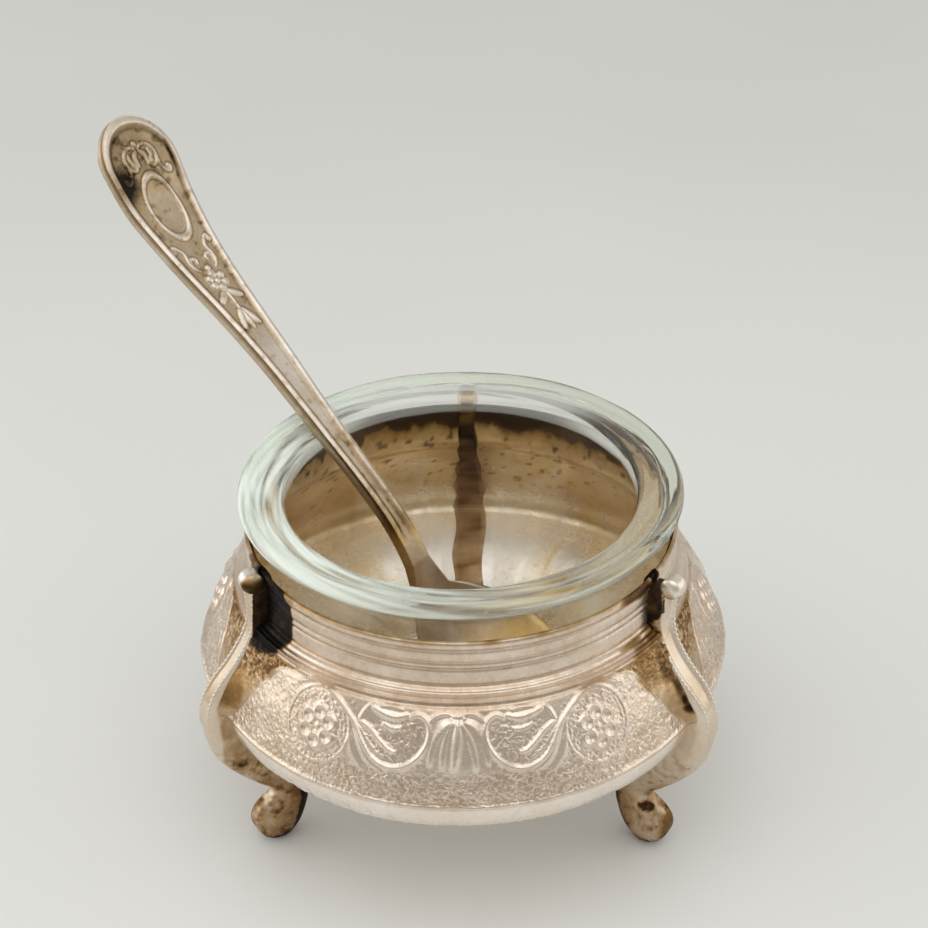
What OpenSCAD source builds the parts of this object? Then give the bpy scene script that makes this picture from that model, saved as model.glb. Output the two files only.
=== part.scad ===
// Footed silver sugar bowl: a frame of three pressed panels on three cast legs,
// a lift-out glass liner and a teaspoon. Millimetres, +Z up, the front towards -Y.
// The origin is on the table, on the bowl's own axis.

/* [Neck] */
// Outer radius of the neck band
neck_r = 36.6; // [35.6:0.1:37.6]
// Height of the neck's top edge above the table
neck_top = 56.7; // [55.7:0.1:57.4]
// Height where the neck's double bead meets the shoulder
neck_base = 46.6; // [46.2:0.1:47]

/* [Panels] */
// Thickness of the pressed silver
sheet_t = 0.9; // [0.7:0.1:1.1]
// Widest radius of a panel, half way between two legs
edge_r = 46.5; // [46:0.1:47]
// Height of the panels' rolled edge
edge_z = 31.7; // [31.2:0.1:32.2]
// How far each panel's own centre lies out from the bowl's axis
lobe_out = 1.9; // [1.4:0.1:2.2]
// Height of the flat seat under the liner
seat_z = 18; // [17.6:0.1:18.2]
// Radius of the round opening in the seat
seat_hole_r = 18; // [16:0.5:19]
// Radius where the root of each leg starts, under the seat's outer part
leg_root_r = 29; // [28:0.2:29.6]

/* [Legs] */
// Widest radius of the legs, at the knee
knee_r = 49.4; // [49:0.1:50]
// Radius of the small scroll at the top of a leg
scroll_r = 1.9; // [1.6:0.1:2]
// Width of a leg at the neck
leg_top_w = 3.4; // [3:0.1:3.8]
// Width of a leg at the knee
leg_knee_w = 5.8; // [5.2:0.1:6.2]
// Width of a foot
foot_w = 5.2; // [4.6:0.1:5.6]

/* [Glass liner] */
// Outer radius of the liner's rim
rim_r = 37.5; // [37:0.1:38]
// Radius of the liner's mouth
mouth_r = 29.8; // [29.4:0.1:30.2]
// Height of the top of the rim
rim_top = 63.7; // [63:0.1:64.2]
// Thickness of the rim at its outer edge
rim_t = 2.5; // [2:0.1:3]
// Outer radius of the liner's wall where it passes the neck
wall_r = 34.4; // [34:0.1:34.8]
// Thickness of the liner's floor
floor_t = 3.1; // [2.6:0.1:3.4]

/* [Spoon] */
// Compass direction in which the handle leans, from +X
lean_az = 142; // [140:1:144]
// How far the spoon leans past the bowl's axis, to its left
lean_side = 2.4; // [2.2:0.1:2.6]
// Widest part of the handle, near its end
handle_w = 16; // [15:0.2:17]
// Width of the stem where it meets the spoon's bowl
stem_w = 5; // [4.4:0.1:5.4]
// Width of the spoon's bowl
bowl_w = 25.5; // [24:0.5:26.5]
// Depth of the spoon's bowl
bowl_deep = 6.8; // [6:0.1:7]
// Thickness of the spoon's bowl
bowl_t = 1.3; // [1:0.1:1.5]

/* [Hidden] */
$fn = 96;

silver = [0.75, 0.69, 0.61];
aged_silver = [0.58, 0.5, 0.4];
glass = [0.8, 0.88, 0.84, 0.45];

// Compass directions of the legs and of the middles of the panels.
back_az = 90;
left_az = 210;
right_az = 330;
front_mid = 270;
right_mid = 30;
left_mid = 150;

// Clearance between the liner's base and the frame's seat.
liner_gap = 0.1;

// ---- curves -------------------------------------------------------------------------

// A point on the smooth curve through b and c, with a and d as its neighbours.
function between(a, b, c, d, t) =
    0.5 * (2 * b + (c - a) * t + (2 * a - 5 * b + 4 * c - d) * t * t
           + (3 * b - a - 3 * c + d) * t * t * t);

// The smooth open curve through all of p, with n steps between two points.
function smooth(p, n = 4) = concat(
    [for (i = [0 : len(p) - 2], j = [0 : n - 1])
        between(p[max(i - 1, 0)], p[i], p[i + 1], p[min(i + 2, len(p) - 1)], j / n)],
    [p[len(p) - 1]]);

// An arc about c from angle a0 to a1, in n steps.
function arc(c, r, a0, a1, n = 8) =
    [for (i = [0 : n]) c + r * [cos(a0 + (a1 - a0) * i / n), sin(a0 + (a1 - a0) * i / n)]];

function reversed(p) = [for (i = [len(p) - 1 : -1 : 0]) p[i]];
function unit(v) = v / norm(v);
function along(p, i) = unit(p[min(i + 1, len(p) - 1)] - p[max(i - 1, 0)]);

// The line p moved sideways by t, to the right of the way it runs.
function beside(p, t) = [for (i = [0 : len(p) - 1]) p[i] + t * [along(p, i)[1], -along(p, i)[0]]];

// ---- frame --------------------------------------------------------------------------

// Rings round the neck, from the lip down: height, centre radius and ring radius.
neck_rings = [
    [neck_top - 0.6, neck_r, 0.5],
    [neck_top - 3.4, neck_r, 0.4],
    [neck_top - 4.9, neck_r, 0.5],
    [neck_top - 6.6, neck_r, 0.4],
    [neck_base + 2.5, neck_r + 0.2, 0.6],
    [neck_base + 0.9, neck_r + 0.8, 1.15]];

// Outer face of a panel half way between the legs, from under the neck to the seat.
panel_line = smooth([
    [neck_r + 1.6, neck_base + 0.9],
    [neck_r + 3.1, neck_base - 1.2],
    [edge_r - 3.3, edge_z + 8],
    [edge_r - 1.5, edge_z + 4],
    [edge_r - 0.3, edge_z + 1],
    [edge_r, edge_z - 0.7],
    [edge_r - 0.6, edge_z - 3.3],
    [edge_r - 2.3, edge_z - 5],
    [seat_hole_r + 18, seat_z + 4.4],
    [seat_hole_r + 11, seat_z + 0.8],
    [seat_hole_r + 7.5, seat_z],
    [seat_hole_r, seat_z]]);

// Side outline of a leg as radius and height: the scroll, the outer line down to the
// ankle, the toe, the flat pad, the heel, and the line back up inside the panels.
scroll_c = [neck_r + 3, neck_top - 1.1];
leg_outer = smooth([
    [neck_r + 2.6, neck_base + 6.4],
    [neck_r + 2.5, neck_base + 3],
    [neck_r + 3.4, neck_base - 0.6],
    [knee_r - 6.2, edge_z + 9.2],
    [knee_r - 3.1, edge_z + 6],
    [knee_r - 0.9, edge_z + 2.5],
    [knee_r, edge_z - 1.4],
    [knee_r - 0.4, edge_z - 6],
    [knee_r - 2.5, edge_z - 10.6],
    [knee_r - 6, edge_z - 15],
    [knee_r - 9.4, edge_z - 18.8],
    [knee_r - 11.4, edge_z - 21.1]]);
toe_c = [39.2, 3.9];
foot_line = concat(
    arc(toe_c + [0.2, 1.2], 3.2, 100, 10, 6),
    arc(toe_c, 3.9, -5, -60, 4),
    [[39.4, 0], [36.4, 0]],
    smooth([[34.6, 1.2], [32.9, 3.9], [31.9, 7.4], [31.6, 10.6], [31.2, 14], [30.2, 17]], 3));
leg_inner = [
    [leg_root_r, seat_z - 0.2],
    [leg_root_r, seat_z + sheet_t + 0.8],
    [edge_r - 3.2, edge_z - 3.9],
    [edge_r - 1.6, edge_z - 1.5],
    [edge_r - 1.6, edge_z + 1],
    [edge_r - 4.2, edge_z + 8],
    [neck_r + 1, neck_base - 0.4],
    [neck_r - 1, neck_base + 2],
    [neck_r - 1, neck_top]];
leg_outline = concat(arc(scroll_c, scroll_r, 150, -110, 20), leg_outer, foot_line, leg_inner);

// Front outline of a leg: half its width at each height.
leg_halves = [
    [leg_top_w / 2 + 0.2, neck_top + scroll_r],
    [leg_top_w / 2 + 0.2, neck_top - 3],
    [leg_top_w / 2, neck_top - 4],
    [leg_top_w / 2, neck_base],
    [leg_knee_w / 2 - 0.6, edge_z + 7],
    [leg_knee_w / 2, edge_z - 1],
    [leg_knee_w / 2 - 0.1, seat_z + 4],
    [foot_w / 2 - 0.5, 12],
    [foot_w / 2, 6],
    [foot_w / 2 - 0.2, 0]];

// The front outline of a leg, pushed outwards from its root.
module leg_front_prism(far) {
    translate([leg_root_r, 0, 0])
        rotate([90, 0, 90])
            linear_extrude(far)
                polygon(concat(leg_halves, [for (p = reversed(leg_halves)) [-p[0], p[1]]]));
}

module leg(az) {
    rotate(az)
        intersection() {
            leg_front_prism(knee_r + 5);
            translate([0, leg_knee_w, 0])
                rotate([90, 0, 0])
                    linear_extrude(2 * leg_knee_w) polygon(leg_outline);
        }
}

module neck_band() {
    rotate_extrude()
        union() {
            translate([neck_r - 1, neck_base]) square([1, neck_top - neck_base]);
            for (ring = neck_rings) translate([ring[1], ring[0]]) circle(ring[2], $fn = 32);
        }
}

module lobe() {
    line = [for (p = panel_line) p - [lobe_out, 0]];
    translate([lobe_out, 0, 0])
        rotate_extrude()
            polygon(concat(line, reversed(beside(line, sheet_t))));
}

// One third of the ring, between the legs on either side of it.
module panel(az) {
    far = 80;
    rotate(az)
        difference() {
            intersection() {
                union() {
                    neck_band();
                    lobe();
                }
                linear_extrude(far)
                    polygon([[0, 0], far * [cos(60), -sin(60)], [2 * far, 0], far * [cos(60), sin(60)]]);
            }
            for (side = [-60, 60]) rotate(side) leg_front_prism(far);
        }
}

module front_panel() {
    color(silver) panel(front_mid);
}

module right_panel() {
    color(silver) panel(right_mid);
}

module left_panel() {
    color(silver) panel(left_mid);
}

module back_leg() {
    color(aged_silver) leg(back_az);
}

module left_leg() {
    color(aged_silver) leg(left_az);
}

module right_leg() {
    color(aged_silver) leg(right_az);
}

// ---- liner --------------------------------------------------------------------------

base_z = seat_z + sheet_t + liner_gap;
floor_z = base_z + floor_t;
rim_round = rim_t / 2;
mouth_round = 1.5;
mouth_drop = 1.1;

// Outside of the liner, from the middle of its base up to the rim's outer edge.
liner_outside = concat(
    [[0, base_z + 0.6], [21, base_z + 0.6], [21.8, base_z], [25.5, base_z]],
    smooth([
        [27, base_z + 0.4],
        [30, base_z + 2],
        [32.2, base_z + 5.4],
        [33.3, base_z + 11],
        [wall_r - 0.4, base_z + 21],
        [wall_r, rim_top - 8],
        [wall_r + 0.1, rim_top - 4],
        [wall_r + 0.9, rim_top - rim_t - 0.2]], 3),
    arc([rim_r - rim_round, rim_top - rim_round], rim_round, -90, 90, 10));

// Inside of the liner, from the rim's crown down to the middle of the floor.
liner_inside = concat(
    arc([mouth_r + mouth_round, rim_top - mouth_drop - mouth_round], mouth_round, 80, 180, 8),
    smooth([
        [mouth_r, rim_top - 6],
        [mouth_r, base_z + 24],
        [mouth_r - 0.3, base_z + 16],
        [mouth_r - 1, base_z + 9],
        [mouth_r - 2.9, base_z + 5],
        [mouth_r - 6.2, floor_z + 0.3]], 3),
    [[mouth_r - 8, floor_z], [0, floor_z]]);

module glass_liner() {
    color(glass) rotate_extrude() polygon(concat(liner_outside, liner_inside));
}

// ---- spoon --------------------------------------------------------------------------

// Centre line of the spoon's upper face from the handle's end down to the bowl, as reach
// outwards from the bowl's axis and height, with the width there as a share of handle_w.
stations = [
    [75.8, 110.2, 1],
    [70.8, 103, 1],
    [66.7, 96.6, 0.92],
    [61.1, 90.9, 0.77],
    [55.5, 86.2, 0.65],
    [49.9, 82, 0.55],
    [44.6, 78, 0.475],
    [38.8, 73.5, 0.41],
    [32.3, 68, 0.35],
    [25.7, 62.4, 0.305],
    [19.2, 57.1, 0.28],
    [13.4, 52, 0.275],
    [9.7, 47.6, 0.28],
    [7.2, 43.6, 0.29]];
handle_line = smooth([for (s = stations) [s[0], s[1]]], 3);
handle_share = smooth([for (s = stations) [s[2], 0]], 3);
end_steps = [0.03, 0.12, 0.27, 0.46, 0.7];

bowl_start = [5.4, 39.6];
bowl_tip = [-27.5, floor_z + 4.3];
bowl_steps = 16;
bowl_sag = 1.5;
sheet_edge = 0.35;
face_hollow = 0.12;

// Thickness of the handle where its line is at height z: thinner towards its end.
end_t = 2.1;
stem_t = 2.6;
end_z = 105;
stem_z = 70;
function handle_t(z) = end_t + (stem_t - end_t) * max(0, min(1, (end_z - z) / (end_z - stem_z)));
// Half width of the bowl, egg shaped, u running from 0 at the stem to 1 at the tip.
function bowl_half(u) = bowl_w / 2 * pow(sin(180 * pow(u, 0.86)), 0.62);
// How far the bowl dips below its rim.
function bowl_dip(u) = bowl_deep * pow(sin(180 * pow(u, 0.94)), 0.75);
bowl_us = [for (i = [1 : bowl_steps]) i / (bowl_steps + 0.35)];

// Each ring of the spoon: place on the centre line, half width, thickness and dip.
rings = concat(
    [for (t = end_steps)
        [between(stations[0], stations[0], stations[1], stations[2], t) * [[1, 0], [0, 1], [0, 0]],
         handle_w / 2 * sqrt(1 - (1 - t) * (1 - t)), handle_t(stations[0][1]), face_hollow]],
    [for (i = [3 : len(handle_line) - 1])
        [handle_line[i], handle_share[i][0] * handle_w / 2, handle_t(handle_line[i][1]),
         face_hollow]],
    [for (u = bowl_us)
        [bowl_start + (bowl_tip - bowl_start) * u - [0, bowl_sag * sin(180 * u)],
         max(bowl_half(u), stem_w / 2), bowl_t, face_hollow + bowl_dip(u)]]);
ring_line = [for (r = rings) r[0]];

across = 8;
function ring_side(k) = k <= across ? k * 2 / across - 1 : 1 - (k - across - 1) * 2 / across;

// The upper face runs across k = 0 to 8 and the lower face back across k = 9 to 17.
function ring_point(i, k) =
    let (r = rings[i],
         t = along(ring_line, i),
         up = [t[1], -t[0]],
         side = ring_side(k),
         bulge = sqrt(max(1 - side * side, 0)),
         lower = k > across ? r[2] * (sheet_edge + (1 - sheet_edge) * bulge) : 0,
         p = r[0] - (lower + r[3] * (1 - side * side)) * up)
    [p[0], side * r[1], p[1]];

// Middle of ring i, where the triangles of an end cap meet.
function ring_middle(i) = (ring_point(i, across / 2) + ring_point(i, across * 3 / 2 + 1)) / 2;

module spoon() {
    loop = 2 * (across + 1);
    count = len(rings);
    last = (count - 1) * loop;
    color(silver)
        rotate(lean_az) translate([0, lean_side, 0])
            polyhedron(
                points = concat(
                    [for (i = [0 : count - 1], k = [0 : loop - 1]) ring_point(i, k)],
                    [ring_middle(0), ring_middle(count - 1)]),
                faces = concat(
                    [for (k = [0 : loop - 1]) [count * loop, k, (k + 1) % loop]],
                    [for (i = [0 : count - 2], k = [0 : loop - 1])
                        each let (a = i * loop + k,
                                  b = i * loop + (k + 1) % loop)
                        [[a, b + loop, b], [a, a + loop, b + loop]]],
                    [for (k = [0 : loop - 1]) [count * loop + 1, last + (k + 1) % loop, last + k]]));
}

front_panel();
right_panel();
left_panel();
back_leg();
left_leg();
right_leg();
glass_liner();
spoon();
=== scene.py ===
"""Looks of a footed silver sugar bowl: embossed panels, cast legs, a glass liner and a teaspoon."""
import math

import bmesh
import bpy
import numpy as np
from mathutils import Matrix, Vector


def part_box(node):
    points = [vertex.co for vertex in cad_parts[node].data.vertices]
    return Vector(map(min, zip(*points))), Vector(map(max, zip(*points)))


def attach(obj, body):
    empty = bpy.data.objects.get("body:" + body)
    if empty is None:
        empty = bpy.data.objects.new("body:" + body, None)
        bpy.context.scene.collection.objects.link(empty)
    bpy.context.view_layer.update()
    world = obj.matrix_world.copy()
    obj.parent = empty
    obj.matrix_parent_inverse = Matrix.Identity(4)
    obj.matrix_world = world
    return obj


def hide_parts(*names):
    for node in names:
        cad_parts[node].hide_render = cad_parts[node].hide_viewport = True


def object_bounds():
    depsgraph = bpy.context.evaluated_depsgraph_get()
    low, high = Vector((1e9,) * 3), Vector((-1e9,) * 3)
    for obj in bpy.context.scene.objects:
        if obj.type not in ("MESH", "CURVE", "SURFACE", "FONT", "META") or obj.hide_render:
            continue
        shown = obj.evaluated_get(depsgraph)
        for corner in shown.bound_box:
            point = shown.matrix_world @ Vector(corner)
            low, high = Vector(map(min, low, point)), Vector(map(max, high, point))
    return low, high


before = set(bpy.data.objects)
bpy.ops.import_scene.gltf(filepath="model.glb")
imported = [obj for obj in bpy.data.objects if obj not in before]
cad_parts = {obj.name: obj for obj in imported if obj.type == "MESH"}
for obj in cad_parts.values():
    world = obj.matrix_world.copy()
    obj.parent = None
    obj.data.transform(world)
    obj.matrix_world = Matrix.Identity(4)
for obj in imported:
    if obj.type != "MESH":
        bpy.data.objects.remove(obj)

CAD_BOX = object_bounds()
MM = 0.001


def side_of(node, corner, axis):
    """One limit of a CAD node's box, in millimetres: corner 0 is the lowest and 1 the highest."""
    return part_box(node)[corner][axis] / MM


# ---- driving sizes, in millimetres ----

NECK_TOP = side_of("front_panel", 1, 2)
SEAT_Z = side_of("front_panel", 0, 2)
EDGE_R = -side_of("front_panel", 0, 1)
KNEE_R = side_of("back_leg", 1, 1)
RIM_TOP = side_of("glass_liner", 1, 2)
RIM_R = side_of("glass_liner", 1, 0)
BASE_Z = side_of("glass_liner", 0, 2)
SPOON_TOP = side_of("spoon", 1, 2)

FLOOR_Z = BASE_Z + 3.1       # the glass floor's upper face
NECK_R = 36.6
EDGE_Z = 31.7                # height of the panels' rolled edge
SHEET = 0.9                  # thickness of the panels
LOBE_OUT = 1.9               # how far each panel's shoulder bulges past a circle
SEAT_HOLE_R = 18.0
SLOT_HALF = 1.3              # half the gap between two panels, which a leg fills
LEG_AZ = {"back_leg": 90.0, "left_leg": 210.0, "right_leg": 330.0}
PANEL_AZ = {"front_panel": 270.0, "right_panel": 30.0, "left_panel": 150.0}
THIRD = 60.0


# ---- numbers and curves ----

def clamp(x, low=0.0, high=1.0):
    return np.minimum(np.maximum(x, low), high)


def ramp(a, b, x):
    """0 below a, 1 above b and smooth between; a may be the larger."""
    t = clamp((x - a) / (b - a))
    return t * t * (3 - 2 * t)


def bump(x, centre, half):
    return np.exp(-((x - centre) / half) ** 2)


def bead(x, y, cx, cy, r):
    """A round bump on a face, 1 at its middle."""
    return bump(x, cx, r) * bump(y, cy, r)


def spline(points, steps=8):
    """The smooth curve through every point, in any number of dimensions."""
    p = np.array(points, float)
    out = []
    for i in range(len(p) - 1):
        a, b, c, d = p[max(i - 1, 0)], p[i], p[i + 1], p[min(i + 2, len(p) - 1)]
        for j in range(steps):
            t = j / steps
            out.append(0.5 * (2 * b + (c - a) * t + (2 * a - 5 * b + 4 * c - d) * t ** 2
                              + (3 * b - a - 3 * c + d) * t ** 3))
    out.append(p[-1])
    return np.array(out)


def lengths(line):
    """Distance along a line at each of its points, from its first two coordinates."""
    steps = np.linalg.norm(np.diff(line[:, :2], axis=0), axis=1)
    return np.concatenate([[0], np.cumsum(steps)])


def heading(line, *spacing):
    """The unit direction of a line at each of its points."""
    slope = np.gradient(line, *spacing, axis=0)
    return slope / np.linalg.norm(slope, axis=1)[:, None]


def at(line, along, s):
    """The line's coordinates at the distances s."""
    return np.stack([np.interp(s, along, line[:, k]) for k in range(line.shape[1])], -1)


def lattice(ix, iy, iz, seed):
    n = (ix * 374761393 + iy * 668265263 + iz * 1442695041 + seed * 974634777) & 0xFFFFFFFF
    n = ((n ^ (n >> 13)) * 1274126177) & 0xFFFFFFFF
    return ((n ^ (n >> 16)) & 0xFFFF) / 65535.0


def noise(p, size, seed):
    """Smooth noise from 0 to 1 at the points p, with features about size across."""
    q = np.asarray(p, float) / size
    i = np.floor(q).astype(np.int64)
    f = q - i
    f = f * f * (3 - 2 * f)
    total = 0
    for dx in (0, 1):
        for dy in (0, 1):
            for dz in (0, 1):
                wx = f[..., 0] if dx else 1 - f[..., 0]
                wy = f[..., 1] if dy else 1 - f[..., 1]
                wz = f[..., 2] if dz else 1 - f[..., 2]
                total = total + wx * wy * wz * lattice(i[..., 0] + dx, i[..., 1] + dy, i[..., 2] + dz, seed)
    return total


def cloud(p, size, seed, octaves=3):
    """Several sizes of noise together, about 0.5 on average."""
    total, share, whole = 0, 1.0, 0.0
    for k in range(octaves):
        total = total + share * noise(p, size / 2 ** k, seed + k)
        whole += share
        share *= 0.55
    return total / whole


def worms(p, size, seed):
    """Granular, winding ridges, from 0 between them to 1 on top."""
    n = 0.65 * noise(p, size, seed) + 0.35 * noise(p, size * 0.55, seed + 9)
    return 1 - clamp(np.abs(n - 0.5) / 0.13) ** 1.3


def stroke(x, y, path, width, taper=(0.35, 0.35), steps=6):
    """A rounded ridge along a smooth path: 1 on its crest, falling to 0 over width to each side.

    taper is how wide the ridge is at its two ends, as a share of width."""
    line = spline(path, steps)
    best = np.zeros_like(x)
    count = len(line) - 1
    for k in range(count):
        a, b = line[k], line[k + 1]
        ab = b - a
        t = clamp(((x - a[0]) * ab[0] + (y - a[1]) * ab[1]) / (ab @ ab + 1e-12))
        d2 = (x - a[0] - t * ab[0]) ** 2 + (y - a[1] - t * ab[1]) ** 2
        u = (k + t) / count
        full = np.sin(math.pi * clamp(u, 0.001, 0.999)) ** 0.6
        ends = taper[0] * (1 - u) + taper[1] * u
        w = width * (ends + (1 - ends) * full)
        best = np.maximum(best, np.exp(-d2 / w ** 2) * (0.45 + 0.55 * w / width))
    return best


# ---- meshes ----

def quads(rows, cols, first=0, wrap=False, turned=False):
    """Faces of a grid of points, row by row."""
    i, j = np.meshgrid(np.arange(rows - 1), np.arange(cols if wrap else cols - 1), indexing="ij")
    k = (j + 1) % cols
    a, b = first + i * cols + j, first + (i + 1) * cols + j
    c, d = first + (i + 1) * cols + k, first + i * cols + k
    order = (a, d, c, b) if turned else (a, b, c, d)
    return np.stack([o.ravel() for o in order], 1).tolist()


def new_object(name, data):
    thing = bpy.data.objects.new(name, data)
    bpy.context.scene.collection.objects.link(thing)
    return thing


def make(name, points, faces, material, body, node, marks=None, sharp=55):
    """A smooth mesh piece from points in millimetres, riding on a body in place of its CAD node."""
    mesh = bpy.data.meshes.new(name)
    low, high = np.array(CAD_BOX[0]), np.array(CAD_BOX[1])
    placed = np.clip(np.asarray(points, float) * MM, low, high)
    mesh.from_pydata(placed.tolist(), [], faces)
    bm = bmesh.new()
    bm.from_mesh(mesh)
    bmesh.ops.recalc_face_normals(bm, faces=bm.faces)
    bm.to_mesh(mesh)
    bm.free()
    mesh.shade_smooth()
    mesh.set_sharp_from_angle(angle=math.radians(sharp))
    for mark, values in (marks or {}).items():
        layer = mesh.attributes.new(mark, "FLOAT", "POINT")
        layer.data.foreach_set("value", np.asarray(values, np.float32).ravel())
    mesh.materials.append(material)
    piece = new_object(name, mesh)
    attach(piece, body)
    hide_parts(node)
    return piece


def closed_shell(outer, inner, stride):
    """Points and faces of a closed skin: a fine outer grid, a coarser inner grid and the walls
    between their borders. The outer grid has stride steps to each step of the inner one."""
    n, m = outer.shape[:2]
    p, q = inner.shape[:2]
    points = np.concatenate([outer.reshape(-1, 3), inner.reshape(-1, 3)])
    faces = quads(n, m) + quads(p, q, n * m, turned=True)

    def fine(i, j):
        return i * m + j

    def coarse(i, j):
        return n * m + i * q + j

    for b in range(q - 1):
        near = [fine(0, b * stride + k) for k in range(stride + 1)]
        faces.append(near + [coarse(0, b + 1), coarse(0, b)])
        far = [fine(n - 1, (b + 1) * stride - k) for k in range(stride + 1)]
        faces.append(far + [coarse(p - 1, b), coarse(p - 1, b + 1)])
    for a in range(p - 1):
        left = [fine((a + 1) * stride - k, 0) for k in range(stride + 1)]
        faces.append(left + [coarse(a, 0), coarse(a + 1, 0)])
        right = [fine(a * stride + k, m - 1) for k in range(stride + 1)]
        faces.append(right + [coarse(a + 1, q - 1), coarse(a, q - 1)])
    return points, faces


def closed_sweep(rings):
    """Points and faces of rings joined one to the next, with a flat cap at each end."""
    n, m = rings.shape[:2]
    faces = quads(n, m, wrap=True)
    faces.append(list(range(m)))
    faces.append([(n - 1) * m + k for k in range(m)][::-1])
    return rings.reshape(-1, 3), faces


def joined(parts):
    """Several (points, faces) as one."""
    points, faces, first = [], [], 0
    for p, f in parts:
        points.append(p)
        faces += [[first + k for k in face] for face in f]
        first += len(p)
    return np.concatenate(points), faces


def uneven(az, z):
    """The legs were soldered on by eye: the right one's knee is a little towards the front."""
    return az - 1.3 * bump(az, 330.0, 22.0) * ramp(52, 42, z) * ramp(14, 26, z)


def polar(radius, az, z):
    a = np.radians(uneven(az, z))
    return np.stack([radius * np.cos(a), radius * np.sin(a), z + 0 * radius * az], -1)


def spun(points, a):
    """Points of (out, across, up) turned about the bowl's axis."""
    x, y, z = points[..., 0], points[..., 1], points[..., 2]
    return np.stack([x * np.cos(a) - y * np.sin(a), x * np.sin(a) + y * np.cos(a), z], -1)


# ---- materials ----

def node_tree(name):
    mat = bpy.data.materials.new(name)
    mat.use_nodes = True
    nt = mat.node_tree
    nt.nodes.clear()
    out = nt.nodes.new("ShaderNodeOutputMaterial")
    return mat, nt, out


def add(nt, kind, settings=None, **inputs):
    """A node with its properties set, and its inputs set or linked by name."""
    n = nt.nodes.new(kind)
    for key, value in (settings or {}).items():
        setattr(n, key, value)
    for key, value in inputs.items():
        by_number = key[0] == "_" and key[1:].isdigit()
        socket = n.inputs[int(key[1:]) if by_number else key.replace("_", " ")]
        if isinstance(value, bpy.types.NodeSocket):
            nt.links.new(value, socket)
        else:
            socket.default_value = value
    return n


def mathn(nt, operation, a, b=0.5, c=0.5, clamped=False):
    n = add(nt, "ShaderNodeMath", {"operation": operation, "use_clamp": clamped}, _0=a, _1=b)
    if operation == "MULTIPLY_ADD":
        if isinstance(c, bpy.types.NodeSocket):
            nt.links.new(c, n.inputs[2])
        else:
            n.inputs[2].default_value = c
    return n.outputs[0]


def mark_of(nt, name):
    return add(nt, "ShaderNodeAttribute", {"attribute_name": name}).outputs["Fac"]


def noise_of(nt, place, scale, detail, roughness=0.5):
    grain = add(nt, "ShaderNodeTexNoise", Vector=place, Scale=scale, Detail=detail, Roughness=roughness)
    return grain.outputs["Fac"]


def swing(nt, value, gain, base, clamped=False):
    """base, plus gain times how far a noise is above its usual half."""
    return mathn(nt, "MULTIPLY_ADD", mathn(nt, "SUBTRACT", value, 0.5), gain, base, clamped)


def times(nt, a, b, clamped=False):
    return mathn(nt, "MULTIPLY", a, b, clamped=clamped)


def between(nt, value, low, high):
    """0 where value is at low and 1 where it is at high."""
    return add(nt, "ShaderNodeMapRange", Value=value, From_Min=low, From_Max=high).outputs["Result"]


def mixed(nt, share, first, second, blend="MIX"):
    settings = {"data_type": "RGBA", "blend_type": blend}
    return add(nt, "ShaderNodeMix", settings, _0=share, _6=first, _7=second).outputs[2]


def ramp_of(nt, factor, stops):
    n = add(nt, "ShaderNodeValToRGB", Fac=factor)
    elements = n.color_ramp.elements
    while len(elements) > 1:
        elements.remove(elements[-1])
    for k, (place, colour) in enumerate(stops):
        e = elements[0] if k == 0 else elements.new(place)
        e.position = place
        e.color = (*colour, 1)
    return n.outputs["Color"]


def silver(name, stops, rough, blotch=0.3, pits=0.3, gold=None, filmed=False):
    """Worn silver plate. The mark "tarnish" goes from clean metal at 0 to black at 1, and in places it also
    holds painted shade and painted highlights; "grain" is how wormy its ground is, "gilt" how golden it is
    and "film" how far it is dulled by old sugar."""
    mat, nt, out = node_tree(name)
    place = add(nt, "ShaderNodeTexCoord").outputs["Object"]
    wide = noise_of(nt, place, 140.0, 4.0, 0.6)
    fine = noise_of(nt, place, 900.0, 5.0, 0.65)
    speck = noise_of(nt, place, 2600.0, 3.0, 0.7)
    threads = mathn(nt, "ABSOLUTE", mathn(nt, "SUBTRACT", noise_of(nt, place, 820.0, 1.0, 0.4), 0.5))
    grains = times(nt, between(nt, threads, 0.055, 0.0), mark_of(nt, "grain"))
    tarnish = mathn(nt, "MULTIPLY_ADD", grains, -0.14, mark_of(nt, "tarnish"))
    tarnish = swing(nt, wide, blotch, tarnish)
    tarnish = swing(nt, fine, blotch * 0.8, tarnish)
    tarnish = swing(nt, speck, blotch * 0.5, tarnish, clamped=True)
    colour = ramp_of(nt, tarnish, stops)
    if gold:
        share = times(nt, swing(nt, wide, 2.4, 1.0), mark_of(nt, "gilt"), clamped=True)
        colour = mixed(nt, share, colour, ramp_of(nt, tarnish, gold))
    roughness = mathn(nt, "MULTIPLY_ADD", tarnish, rough[1] - rough[0], rough[0])
    roughness = swing(nt, fine, 0.22, roughness, clamped=True)
    height = mathn(nt, "MULTIPLY_ADD", grains, 0.4, times(nt, fine, pits))
    height = mathn(nt, "MULTIPLY_ADD", speck, pits * 0.5, height)
    relief = add(nt, "ShaderNodeBump", Height=height, Strength=0.55, Distance=0.00012).outputs["Normal"]
    shader = add(nt, "ShaderNodeBsdfPrincipled", Base_Color=colour, Roughness=roughness, Normal=relief)
    shader.inputs["Metallic"].default_value = 0.96
    if filmed:
        metal = mathn(nt, "MULTIPLY_ADD", mark_of(nt, "film"), -0.8, 0.96)
        nt.links.new(metal, shader.inputs["Metallic"])
    nt.links.new(shader.outputs[0], out.inputs["Surface"])
    return mat


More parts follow.
